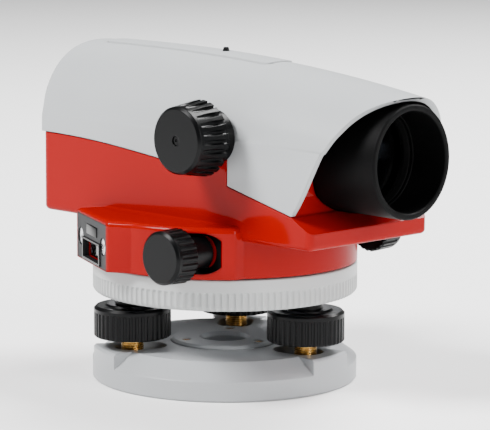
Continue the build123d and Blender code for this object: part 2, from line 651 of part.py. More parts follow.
with BuildPart() as compensator_frame:
    low = floor_z + 0.1
    extrude(face_on(Plane.XZ, [(-46, low), (-14, low), (-14, 64), (-46, 64)]), amount=16, both=True)
    for y in (-16, 13.5):
        sides = [(-46, 64), (-14, 64), (-18, 112), (-34, 112)]
        extrude(face_on(Plane.XZ.offset(-y - 2.5), sides), amount=2.5)
    beam = [(-30, 109), (-22, 109), (-22, 112), (-30, 112)]
    extrude(face_on(Plane.XZ, beam), amount=16, both=True)
    tube(telescope, -50, 0, 11, 0, mode=Mode.SUBTRACT)
compensator_frame.part.label = "compensator_frame"
export_step(compensator_frame.part, "parts/compensator_frame.step")

with BuildPart() as fixed_prisms:
    for near, far in ((-44, -36), (-22, -15)):
        wedge = [(near, 79), (far, 79), (far, 95), (near, 95 - (far - near))]
        extrude(face_on(Plane.XZ, wedge), amount=13.4, both=True)
fixed_prisms.part.label = "fixed_prisms"
export_step(fixed_prisms.part, "parts/fixed_prisms.step")

with BuildPart() as suspension_wires:
    for y in (-8, 8):
        for x in (-28, -24):
            with BuildSketch(Plane.XY.offset(99.2)):
                with Locations((x, y)):
                    Circle(0.15)
            extrude(amount=9.7)
suspension_wires.part.label = "suspension_wires"
export_step(suspension_wires.part, "parts/suspension_wires.step")

with BuildPart() as pendulum_arm:
    upper = [(-31, 96), (-21, 96), (-21, 99), (-31, 99)]
    weight = [(-31.5, 69), (-23.5, 69), (-23.5, 78), (-31.5, 78)]
    extrude(face_on(Plane.XZ, upper), amount=9, both=True)
    extrude(face_on(Plane.XZ, weight), amount=6, both=True)
    for y in (-9.5, 8):
        cheek = [(-30, 72), (-25, 72), (-25, 99), (-30, 99)]
        extrude(face_on(Plane.XZ.offset(-y - 1.5), cheek), amount=1.5)
    foot = [(-30, 72), (-25, 72), (-25, 74), (-30, 74)]
    extrude(face_on(Plane.XZ, foot), amount=9.5, both=True)
pendulum_arm.part.label = "pendulum_arm"
export_step(pendulum_arm.part, "parts/pendulum_arm.step")

with BuildPart() as pendulum_prism:
    extrude(face_on(Plane.XZ, [(-33, 78.2), (-24.5, 78.2), (-28.7, 94)]), amount=7.8, both=True)
pendulum_prism.part.label = "pendulum_prism"
export_step(pendulum_prism.part, "parts/pendulum_prism.step")

with BuildPart() as damper_magnet:
    extrude(face_on(Plane.XZ, [(-33, 64.1), (-22, 64.1), (-22, 66.5), (-33, 66.5)]), amount=7, both=True)
damper_magnet.part.label = "damper_magnet"
export_step(damper_magnet.part, "parts/damper_magnet.step")

# ---------------------------------------------------------------- eyepiece

with BuildPart() as reticle_cell:
    tube(telescope, -58, -50, 11.95, 7.5)
reticle_cell.part.label = "reticle_cell"
export_step(reticle_cell.part, "parts/reticle_cell.step")

with BuildPart() as reticle:
    tube(telescope, -55.5, -54, 7.45, 0)
reticle.part.label = "reticle"
export_step(reticle.part, "parts/reticle.step")

with BuildPart() as eyepiece_tube:
    flange = [(-68, 12), (-68, 13.2), (-69.5, 13.2), (-69.5, 10)]
    turn(telescope, [(-75, 7.55), (-58.1, 7.55), (-58.1, 12), *flange, (-75, 10)])
eyepiece_tube.part.label = "eyepiece_tube"
export_step(eyepiece_tube.part, "parts/eyepiece_tube.step")

with BuildPart() as eyepiece_lenses:
    turn(telescope, [(-74, 0), (-73.4, 7.4), (-71, 7.4), (-70.4, 0)])
    turn(telescope, [(-79.5, 0), (-79, 6.9), (-76.5, 6.9), (-75.8, 0)])
eyepiece_lenses.part.label = "eyepiece_lenses"
export_step(eyepiece_lenses.part, "parts/eyepiece_lenses.step")

with BuildPart() as dioptre_ring:
    back = Plane(origin=(0, 0, axis_z), x_dir=(-1, 0, 0), z_dir=(0, 1, 0))
    grip(back, 69.9, 80, 12.6, 12.2, 30, 0.35)
    tube(back, 60, 75.2, 10.05, 0, mode=Mode.SUBTRACT)
    tube(back, 60, 90, 7.0, 0, mode=Mode.SUBTRACT)
dioptre_ring.part.label = "dioptre_ring"
export_step(dioptre_ring.part, "parts/dioptre_ring.step")

with BuildPart() as eyecup:
    turn(telescope, [(-80.1, 7.1), (-80.1, 11.2), (-83, 11.6), (-86, 12.4), (-86, 11), (-82, 9.4)])
eyecup.part.label = "eyecup"
export_step(eyecup.part, "parts/eyecup.step")

# ---------------------------------------------------------------- circular level

level_x, level_y = -41.0, 43.5
level_axis = Plane(origin=(level_x, level_y, 0), x_dir=(0, 0, 1), z_dir=(1, 0, 0))

with BuildPart() as level_bracket:
    plate = [(level_x - 13, 66), (level_x + 13, 66), (level_x + 13, 79), (level_x - 13, 79)]
    extrude(face_on(Plane.XZ.offset(-half_w - 0.1), plate), amount=-2.4)
    with BuildSketch(Plane.XY.offset(66)):
        with Locations((level_x, level_y - 5.4)):
            Rectangle(24, 11)
        with Locations((level_x, level_y)):
            Circle(12)
    extrude(amount=3)
level_bracket.part.label = "level_bracket"
export_step(level_bracket.part, "parts/level_bracket.step")

with BuildPart() as level_case:
    turn(level_axis, [(69.05, 0), (69.05, 10), (78, 10), (78, 8.5), (71, 8.5), (71, 0)])
level_case.part.label = "level_case"
export_step(level_case.part, "parts/level_case.step")

with BuildPart() as level_vial:
    turn(level_axis, [(71.05, 0), (71.05, 8.45), (77, 8.45), (78.2, 6), (78.6, 0)])
level_vial.part.label = "level_vial"
export_step(level_vial.part, "parts/level_vial.step")

with BuildPart() as level_mirror_arm:
    for x in (level_x - 11.8, level_x + 10.3):
        cheek = [(33.1, 69.05), (52, 79.5), (52, 90), (46, 97), (36, 97), (33.1, 94)]
        side = Plane(origin=(x, 0, 0), x_dir=(0, 1, 0), z_dir=(1, 0, 0))
        extrude(face_on(side, cheek), amount=1.5)
    roof = Plane(origin=(level_x - 11.8, 0, 0), x_dir=(0, 1, 0), z_dir=(1, 0, 0))
    extrude(face_on(roof, [(36, 97), (46, 97), (46, 95.6), (36, 95.6)]), amount=23.6)
    extrude(face_on(roof, [(33.1, 80), (34.4, 80), (34.4, 94), (33.1, 94)]), amount=23.6)
level_mirror_arm.part.label = "level_mirror_arm"
export_step(level_mirror_arm.part, "parts/level_mirror_arm.step")

with BuildPart() as level_mirror:
    slope = [(level_x - 9.5, 84), (level_x - 8.5, 83), (level_x + 2.5, 94), (level_x + 1.5, 95)]
    extrude(face_on(Plane.XZ.offset(-51), slope), amount=15.5)
level_mirror.part.label = "level_mirror"
export_step(level_mirror.part, "parts/level_mirror.step")
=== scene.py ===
"""The looks of an automatic level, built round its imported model."""

import json
import logging
import math
from dataclasses import dataclass
from enum import Enum

import bmesh
import bpy
from mathutils import Matrix, Vector


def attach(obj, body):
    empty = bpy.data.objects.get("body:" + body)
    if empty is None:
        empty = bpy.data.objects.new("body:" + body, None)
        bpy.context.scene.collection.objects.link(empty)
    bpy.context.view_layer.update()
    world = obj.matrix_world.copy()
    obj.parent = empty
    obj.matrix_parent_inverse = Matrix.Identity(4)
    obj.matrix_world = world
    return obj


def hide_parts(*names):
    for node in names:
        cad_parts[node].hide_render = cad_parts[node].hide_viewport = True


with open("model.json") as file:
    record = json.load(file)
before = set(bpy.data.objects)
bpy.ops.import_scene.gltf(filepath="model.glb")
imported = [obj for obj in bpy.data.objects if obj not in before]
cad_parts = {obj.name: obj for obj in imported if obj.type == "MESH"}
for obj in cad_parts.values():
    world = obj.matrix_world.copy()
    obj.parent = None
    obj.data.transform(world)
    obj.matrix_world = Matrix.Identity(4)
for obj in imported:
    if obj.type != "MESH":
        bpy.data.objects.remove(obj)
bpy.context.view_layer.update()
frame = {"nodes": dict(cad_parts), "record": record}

LOG = logging.getLogger("level")
MM = 0.001
Colour = tuple[float, float, float]
Reach = tuple[float, float]
FOOT_ANGLES = {"a": 248.2, "b": 128.2, "c": 8.2}  # degrees round the base from the line of sight


# ---------------------------------------------------------------- shared shader effects


class Effect(Enum):
    """The shader groups that several finishes share."""

    GRAIN = "grain"
    MOTTLE = "mottle"
    SPIN = "spin"
    SCALE = "scale"


def new_group(name: str, inputs: dict[str, float], outputs: list[str]) -> bpy.types.ShaderNodeTree:
    """Make an empty shader group with a vector input and the given float sockets.

    Args:
        name: The group's name.
        inputs: Each float input's name and its default.
        outputs: The names of the float outputs.

    Returns:
        The node tree, with its input and output nodes placed.
    """
    tree = bpy.data.node_groups.new(name, "ShaderNodeTree")
    tree.interface.new_socket("Vector", in_out="INPUT", socket_type="NodeSocketVector")
    for title, default in inputs.items():
        socket = tree.interface.new_socket(title, in_out="INPUT", socket_type="NodeSocketFloat")
        socket.default_value = default
    for title in outputs:
        tree.interface.new_socket(title, in_out="OUTPUT", socket_type="NodeSocketFloat")
    tree.nodes.new("NodeGroupInput").name = "in"
    tree.nodes.new("NodeGroupOutput").name = "out"
    return tree


def math_node(tree: bpy.types.NodeTree, kind: str, a: object, b: object = None) -> bpy.types.NodeSocket:
    """Add a math node fed by sockets or numbers and give back its output.

    Args:
        tree: The tree to add to.
        kind: The operation's name.
        a: The first input, a socket or a number.
        b: The second input, if it has one.

    Returns:
        The node's value socket.
    """
    node = tree.nodes.new("ShaderNodeMath")
    node.operation = kind
    for index, value in enumerate((a, b)):
        if isinstance(value, bpy.types.NodeSocket):
            tree.links.new(value, node.inputs[index])
        elif value is not None:
            node.inputs[index].default_value = value
    return node.outputs[0]


def noise(
    tree: bpy.types.NodeTree, vector: bpy.types.NodeSocket, scale: object, detail: float
) -> bpy.types.NodeSocket:
    """Add a noise texture and give back its factor.

    Args:
        tree: The tree to add to.
        vector: The coordinates.
        scale: The scale, a socket or a number.
        detail: How many finer layers it has.

    Returns:
        The factor socket, from 0 to 1.
    """
    node = tree.nodes.new("ShaderNodeTexNoise")
    node.inputs["Detail"].default_value = detail
    tree.links.new(vector, node.inputs["Vector"])
    if isinstance(scale, bpy.types.NodeSocket):
        tree.links.new(scale, node.inputs["Scale"])
    else:
        node.inputs["Scale"].default_value = scale
    return node.outputs["Fac"]


def grain_group() -> bpy.types.ShaderNodeTree:
    """Make the fine, even grain of a textured coat or moulding: fine noise and soft dimples together."""
    tree = new_group(Effect.GRAIN.value, {"Scale": 3000.0, "Dimples": 0.5}, ["Height"])
    source = tree.nodes["in"].outputs
    fine = noise(tree, source["Vector"], source["Scale"], 2.0)
    cells = tree.nodes.new("ShaderNodeTexVoronoi")
    cells.feature = "SMOOTH_F1"
    tree.links.new(source["Vector"], cells.inputs["Vector"])
    tree.links.new(math_node(tree, "MULTIPLY", source["Scale"], 0.6), cells.inputs["Scale"])
    dimples = math_node(tree, "MULTIPLY", cells.outputs["Distance"], source["Dimples"])
    tree.links.new(math_node(tree, "ADD", fine, dimples), tree.nodes["out"].inputs["Height"])
    return tree


def mottle_group() -> bpy.types.ShaderNodeTree:
    """Make the broad, faint unevenness that handling and casting leave in a surface."""
    tree = new_group(Effect.MOTTLE.value, {"Scale": 40.0, "Strength": 0.1}, ["Shade", "Smudge"])
    source = tree.nodes["in"].outputs
    broad = noise(tree, source["Vector"], source["Scale"], 3.0)
    swing = math_node(tree, "MULTIPLY", math_node(tree, "SUBTRACT", broad, 0.5), source["Strength"])
    tree.links.new(math_node(tree, "ADD", swing, 1.0), tree.nodes["out"].inputs["Shade"])
    streaks = noise(tree, source["Vector"], math_node(tree, "MULTIPLY", source["Scale"], 5.0), 5.0)
    patchy = math_node(tree, "MULTIPLY", streaks, broad)
    smudge = math_node(tree, "MULTIPLY", patchy, source["Strength"])
    tree.links.new(smudge, tree.nodes["out"].inputs["Smudge"])
    return tree


def spin_group() -> bpy.types.ShaderNodeTree:
    """Make the fine rings that a lathe leaves, about the x axis of the coordinates given."""
    tree = new_group(Effect.SPIN.value, {"Scale": 9000.0}, ["Height"])
    source = tree.nodes["in"].outputs
    split = tree.nodes.new("ShaderNodeSeparateXYZ")
    tree.links.new(source["Vector"], split.inputs[0])
    y2 = math_node(tree, "MULTIPLY", split.outputs["Y"], split.outputs["Y"])
    z2 = math_node(tree, "MULTIPLY", split.outputs["Z"], split.outputs["Z"])
    radius = math_node(tree, "SQRT", math_node(tree, "ADD", y2, z2))
    along = math_node(tree, "ADD", split.outputs["X"], radius)
    combine = tree.nodes.new("ShaderNodeCombineXYZ")
    tree.links.new(along, combine.inputs["X"])
    rings = noise(tree, combine.outputs[0], source["Scale"], 2.0)
    tree.links.new(rings, tree.nodes["out"].inputs["Height"])
    return tree


def scale_group() -> bpy.types.ShaderNodeTree:
    """Make a mask of graduation lines round the vertical axis: one each degree, longer at each fifth."""
    sizes = {"Lines": 360.0, "Top": 0.0461, "Longer": 0.0014, "Line Width": 0.2}
    tree = new_group(Effect.SCALE.value, sizes, ["Mask"])
    source = tree.nodes["in"].outputs
    split = tree.nodes.new("ShaderNodeSeparateXYZ")
    tree.links.new(source["Vector"], split.inputs[0])
    angle = math_node(tree, "ARCTAN2", split.outputs["Y"], split.outputs["X"])
    step = math_node(tree, "MULTIPLY", math_node(tree, "MULTIPLY", angle, source["Lines"]), 0.5 / math.pi)
    fine = math_node(tree, "LESS_THAN", math_node(tree, "FRACT", step), source["Line Width"])
    fifth_step = math_node(tree, "FRACT", math_node(tree, "DIVIDE", step, 5.0))
    fifth = math_node(tree, "LESS_THAN", fifth_step, 0.2)
    top = math_node(tree, "ADD", source["Top"], math_node(tree, "MULTIPLY", fifth, source["Longer"]))
    below = math_node(tree, "LESS_THAN", split.outputs["Z"], top)
    mask = math_node(tree, "MULTIPLY", fine, below)
    tree.links.new(mask, tree.nodes["out"].inputs["Mask"])
    return tree


GROUPS: dict[Effect, bpy.types.ShaderNodeTree] = {}


# ---------------------------------------------------------------- finishes


@dataclass(frozen=True)
class Finish:
    """One finish of the instrument, and the numbers that shade it."""

    slot: str
    colour: Colour
    roughness: float = 0.5
    metallic: float = 0.0
    coat: float = 0.0
    specular: float = 0.5
    grain: float = 3000.0
    dimples: float = 0.5
    depth: float = 0.00001
    mottle: float = 0.06
    smudge: float = 0.08
    lathe: float = 0.0
    rounding: float = 0.0
    lines: Colour | None = None
    transmission: float = 0.0
    ior: float = 1.5
    sheen: float = 0.0

    def build(self) -> bpy.types.Material:
        """Make the Blender material of this finish.

        Returns:
            The material, named after its slot.
        """
        material = bpy.data.materials.new(self.slot)
        material.use_nodes = True
        tree = material.node_tree
        shader = tree.nodes["Principled BSDF"]
        place = tree.nodes.new("ShaderNodeTexCoord").outputs["Object"]
        shader.inputs["Metallic"].default_value = self.metallic
        shader.inputs["Coat Weight"].default_value = self.coat
        shader.inputs["Coat Roughness"].default_value = 0.08
        shader.inputs["Specular IOR Level"].default_value = self.specular
        shader.inputs["IOR"].default_value = self.ior
        shader.inputs["Transmission Weight"].default_value = self.transmission
        shader.inputs["Sheen Weight"].default_value = self.sheen
        mottle = self._group(tree, Effect.MOTTLE, place, {"Strength": self.mottle})
        tree.links.new(self._tint(tree, mottle, place), shader.inputs["Base Color"])
        smudged = math_node(tree, "MULTIPLY", mottle.outputs["Smudge"], self.smudge / max(self.mottle, 0.001))
        rough = math_node(tree, "ADD", smudged, self.roughness - self.smudge * 0.25)
        tree.links.new(rough, shader.inputs["Roughness"])
        if self.depth:
            tree.links.new(self._bump(tree, place), shader.inputs["Normal"])
        return material

    def _group(
        self, tree: bpy.types.NodeTree, effect: Effect, place: bpy.types.NodeSocket, values: dict[str, float]
    ) -> bpy.types.ShaderNodeGroup:
        """Place a shared effect with its own values.

        Args:
            tree: The material's tree.
            effect: Which effect.
            place: The coordinates it reads.
            values: Its input values.

        Returns:
            The group node.
        """
        node = tree.nodes.new("ShaderNodeGroup")
        node.node_tree = GROUPS[effect]
        tree.links.new(place, node.inputs["Vector"])
        for name, value in values.items():
            node.inputs[name].default_value = value
        return node

    def _tint(
        self, tree: bpy.types.NodeTree, mottle: bpy.types.ShaderNodeGroup, place: bpy.types.NodeSocket
    ) -> bpy.types.NodeSocket:
        """Shade the base colour with the mottle, and draw the scale's lines where the finish has them.

        Args:
            tree: The material's tree.
            mottle: The mottle group's node.
            place: The coordinates.

        Returns:
            The colour socket.
        """
        shade = tree.nodes.new("ShaderNodeMix")
        shade.data_type = "RGBA"
        shade.blend_type = "MULTIPLY"
        shade.inputs["Factor"].default_value = 1.0
        shade.inputs["A"].default_value = (*self.colour, 1.0)
        tree.links.new(mottle.outputs["Shade"], shade.inputs["B"])
        if self.lines is None:
            return shade.outputs["Result"]
        scale = self._group(tree, Effect.SCALE, place, {})
        drawn = tree.nodes.new("ShaderNodeMix")
        drawn.data_type = "RGBA"
        tree.links.new(scale.outputs["Mask"], drawn.inputs["Factor"])
        tree.links.new(shade.outputs["Result"], drawn.inputs["A"])
        drawn.inputs["B"].default_value = (*self.lines, 1.0)
        return drawn.outputs["Result"]

    def _bump(self, tree: bpy.types.NodeTree, place: bpy.types.NodeSocket) -> bpy.types.NodeSocket:
        """Raise the grain, and the lathe's rings where the piece is turned.

        Args:
            tree: The material's tree.
            place: The coordinates.

        Returns:
            The normal socket.
        """
        grain = self._group(tree, Effect.GRAIN, place, {"Scale": self.grain, "Dimples": self.dimples})
        height = grain.outputs["Height"]
        if self.lathe:
            rings = self._group(tree, Effect.SPIN, place, {"Scale": self.lathe})
            height = math_node(tree, "ADD", height, rings.outputs["Height"])
        bump = tree.nodes.new("ShaderNodeBump")
        bump.inputs["Strength"].default_value = 1.0
        bump.inputs["Distance"].default_value = self.depth
        if self.rounding:
            soft = tree.nodes.new("ShaderNodeBevel")
            soft.samples = 6
            soft.inputs["Radius"].default_value = self.rounding
            tree.links.new(soft.outputs["Normal"], bump.inputs["Normal"])
        tree.links.new(height, bump.inputs["Height"])
        return bump.outputs["Normal"]


RED = Finish(
    "red_paint", (0.23, 0.0, 0.0), 0.32, coat=0.14, specular=0.02, grain=1100, depth=0.000006, rounding=0.0011
)
COVER = Finish(
    "cover_grey", (0.35, 0.362, 0.37), 0.42, grain=2600, depth=0.000014, specular=0.25, rounding=0.0008
)
GREY_CASTING = Finish("grey_paint", (0.3, 0.31, 0.32), 0.38, grain=1500, depth=0.000012, rounding=0.0007)
GREY_RING = Finish("grey_plastic", (0.36, 0.37, 0.368), 0.45, grain=3200, depth=0.000006)
CIRCLE_SCALE = Finish("scale_plastic", (0.8, 0.78, 0.7), 0.5, lines=(0.01, 0.01, 0.01))
BLACK_PAINT = Finish(
    "black_paint", (0.0016, 0.0016, 0.0017), 0.5, grain=2400, depth=0.000008, specular=0.06, rounding=0.0005
)
BLACK_PLASTIC = Finish(
    "black_plastic", (0.0012, 0.0013, 0.0015), 0.3, grain=3200, depth=0.00001, specular=0.12, rounding=0.00035
)
DARK_PLASTIC = Finish(
    "dark_plastic", (0.008, 0.0085, 0.0095), 0.5, specular=0.12, grain=3000, depth=0.000008, rounding=0.0003
)
RUBBER = Finish(
    "soft_rubber", (0.006, 0.006, 0.0065), 0.75, grain=2600, depth=0.00001, sheen=0.1, rounding=0.0005
)
BRASS = Finish("brass", (0.68, 0.42, 0.13), 0.26, metallic=1.0, lathe=6000, depth=0.000005, rounding=0.0002)
STEEL = Finish("steel", (0.62, 0.63, 0.65), 0.28, metallic=1.0, lathe=8000, depth=0.000003, rounding=0.0002)
SPRING_STEEL = Finish("spring_steel", (0.45, 0.46, 0.49), 0.35, metallic=1.0, depth=0.000003)
BARE_ALLOY = Finish("bare_alloy", (0.55, 0.56, 0.58), 0.38, metallic=1.0, depth=0.000005, rounding=0.0003)
LENS_GLASS = Finish("lens_glass", (0.05, 0.06, 0.075), 0.08, transmission=1.0, depth=0.0, specular=0.15)
VIAL_LIQUID = Finish("vial_liquid", (0.7, 0.95, 0.3), 0.05, transmission=1.0, ior=1.4, depth=0.0)
MIRROR = Finish("mirror", (0.9, 0.91, 0.93), 0.05, metallic=1.0, depth=0.0)

PAINTS = (RED, COVER, GREY_CASTING, BLACK_PAINT)
MOULDINGS = (GREY_RING, CIRCLE_SCALE, BLACK_PLASTIC, DARK_PLASTIC, RUBBER)
METALS = (BRASS, STEEL, SPRING_STEEL, BARE_ALLOY, MIRROR)
GLASSES = (LENS_GLASS, VIAL_LIQUID)
FINISHES = {finish.slot: finish for finish in (*PAINTS, *MOULDINGS, *METALS, *GLASSES)}
MATERIALS: dict[str, bpy.types.Material] = {}


def prepare_materials() -> None:
    """Build the shared groups and one material for each finish."""
    GROUPS[Effect.GRAIN] = grain_group()
    GROUPS[Effect.MOTTLE] = mottle_group()
    GROUPS[Effect.SPIN] = spin_group()
    GROUPS[Effect.SCALE] = scale_group()
    for slot, finish in FINISHES.items():
        MATERIALS[slot] = finish.build()
    LOG.info("built %d finishes", len(MATERIALS))


def dress_cad() -> None:
    """Give every carried-over node the finish of its own slot."""
    slots = {part["node"]: part["material_slot"] for part in frame["record"]["subparts"]}
    for name, node in frame["nodes"].items():
        node.data.materials.clear()
        node.data.materials.append(MATERIALS[slots[name]])
    blacken_hood(frame["nodes"]["top_cover"])
    LOG.info("dressed %d nodes", len(frame["nodes"]))


def blacken_hood(cover: bpy.types.Object) -> None:
    """Give the cover's inner faces the black paint finish.

    Args:
        cover: The cover's node.
    """
    cover.data.materials.append(MATERIALS["black_paint"])
    hollow_middle = Vector((0, 0, 0.075))
    least_inward = -0.004
    steepest_end = 0.5
    for face in cover.data.polygons:
        away = face.center - hollow_middle
        inward = face.normal.y * away.y + face.normal.z * away.z < least_inward
        if inward and abs(face.normal.x) < steepest_end:
            face.material_index = 1


# ---------------------------------------------------------------- added pieces


def rounded(value: float, low: float, high: float) -> float:
    """Ease a value from 0 at low to 1 at high.

    Args:
        value: What is eased.
        low: Where it starts.
        high: Where it ends.

    Returns:
        The eased share.
    """
    share = min(max((value - low) / (high - low), 0.0), 1.0)
    return share * share * (3 - 2 * share)


def finish_piece(
    name: str, shape: bmesh.types.BMesh, slot: str, body: str, sharp: float = 35.0
) -> bpy.types.Object:
    """Turn a finished bmesh into a piece that rides on a body.

    Args:
        name: The piece's name.
        shape: Its geometry in metres, freed here.
        slot: The material slot it takes its finish from.
        body: The body it moves with.
        sharp: The angle in degrees above which an edge stays sharp.

    Returns:
        The new object.
    """
    bmesh.ops.remove_doubles(shape, verts=shape.verts, dist=1e-7)
    bmesh.ops.recalc_face_normals(shape, faces=shape.faces)
    for face in shape.faces:
        face.smooth = True
    limit = math.radians(sharp)
    for edge in shape.edges:
        if len(edge.link_faces) == 2 and edge.calc_face_angle() > limit:
            edge.smooth = False
    mesh = bpy.data.meshes.new(name)
    shape.to_mesh(mesh)
    shape.free()
    mesh.materials.append(MATERIALS[slot])
    piece = bpy.data.objects.new(name, mesh)
    bpy.context.scene.collection.objects.link(piece)
    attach(piece, body)
    LOG.info("%s: %d faces on %s", name, len(mesh.polygons), body)
    return piece


def spun(profile: list[tuple[float, float]], centre: Vector, steps: int) -> bmesh.types.BMesh:
    """Spin a closed outline of (radius, height) corners in millimetres about an upright axis.

    Args:
        profile: The corners in order; the last joins the first.
        centre: A point on the axis, in metres.
        steps: How many steps make the full turn.

    Returns:
        The spun shape.
    """
    shape = bmesh.new()
    points = [shape.verts.new(centre + Vector((r * MM, 0, z * MM))) for r, z in profile]
    edges = [shape.edges.new(pair) for pair in zip(points, points[1:] + points[:1])]
    geometry = points + edges
    full = 2 * math.pi
    bmesh.ops.spin(shape, geom=geometry, cent=centre, axis=(0, 0, 1), angle=full, steps=steps, use_merge=True)
    return shape


@dataclass
class SettingRing:
    """The horizontal circle's ring: a plain band above a band of fine round-topped flutes."""

    radius: float = 48.4
    inner: float = 44.4
    top_inner: float = 36.0
    z0: float = 32.2
    z1: float = 43.4
    flute_top: float = 38.9
    flutes: int = 126
    depth: float = 0.62
    half_width: float = 0.78
    foot: float = 1.3
    lip: float = 0.5
    shelf: float = 1.8
    rows: int = 26
    steps_per_flute: int = 8

    def profile(self) -> list[tuple[float, float]]:
        """List the section's corners, with many rows on the fluted side."""
        under = [(self.radius - 1.5, self.z0), (self.radius - 0.9, self.z0 + 0.12)]
        under.append((self.radius - 0.3, self.z0 + 0.7))
        low, high = self.z0 + self.foot, self.z1 - self.lip
        side = [(self.radius, low + (high - low) * row / self.rows) for row in range(self.rows + 1)]
        edge = [(self.radius - 0.12, self.z1 - 0.15), (self.radius - self.lip, self.z1)]
        shelf_z = self.z1 - self.shelf
        inside = [(self.top_inner, self.z1), (self.top_inner, shelf_z), (self.inner, shelf_z)]
        return [(self.inner, self.z0), *under, *side, *edge, *inside]

    def groove(self, turn: float, height: float) -> float:
        """Give the flute's depth in millimetres at a place on the side.

        Args:
            turn: The angle round the ring in radians.
            height: The height in millimetres.

        Returns:
            How far the surface is drawn in.
        """
        pitch = 2 * math.pi * self.radius / self.flutes
        across = ((turn * self.flutes / (2 * math.pi)) % 1.0 - 0.5) * pitch
        centre = self.flute_top - self.half_width
        up = max(height - centre, 0.0)
        away = math.hypot(across, up)
        return self.depth * (1 - rounded(away, self.half_width * 0.62, self.half_width * 1.12))

    def build(self) -> bpy.types.Object:
        """Spin the ring and press the flutes into its side."""
        shape = spun(self.profile(), Vector((0, 0, 0)), self.flutes * self.steps_per_flute)
        for vert in shape.verts:
            radius = math.hypot(vert.co.x, vert.co.y)
            if radius < (self.radius - 1.0) * MM or vert.co.z > self.flute_top * MM + 0.001:
                continue
            turn = math.atan2(vert.co.y, vert.co.x)
            share = 1 - self.groove(turn, vert.co.z / MM) * MM / radius
            vert.co.x *= share
            vert.co.y *= share
        ring = finish_piece("fluted_ring", shape, "grey_plastic", "setting_ring", sharp=50)
        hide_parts("setting_ring")
        return ring


@dataclass
class SpindleThread:
    """The fine thread seen on a foot screw's spindle between the base and the knob."""

    key: str
    angle: float
    circle: float = 36.3
    core: float = 3.5
    root: float = 3.87
    crest: float = 4.12
    z0: float = 11.5
    z1: float = 17.15
    pitch: float = 0.75

    def build(self) -> bpy.types.Object:
        """Spin the thread's crests round the spindle."""
        turn = math.radians(self.angle)
        centre = Vector((math.cos(turn), math.sin(turn), 0)) * self.circle * MM
        profile = [(self.core, self.z0)]
        height = self.z0
        while height + self.pitch < self.z1:
            quarter = self.pitch / 4
            profile.append((self.root, height))
            profile.append((self.crest, height + quarter))
            profile.append((self.crest, height + 1.6 * quarter))
            profile.append((self.root, height + 2.6 * quarter))
            height += self.pitch
        profile += [(self.root, self.z1), (self.core, self.z1)]
        shape = spun(profile, centre, 48)
        return finish_piece(f"spindle_thread_{self.key}", shape, "brass", f"foot_screw_{self.key}")


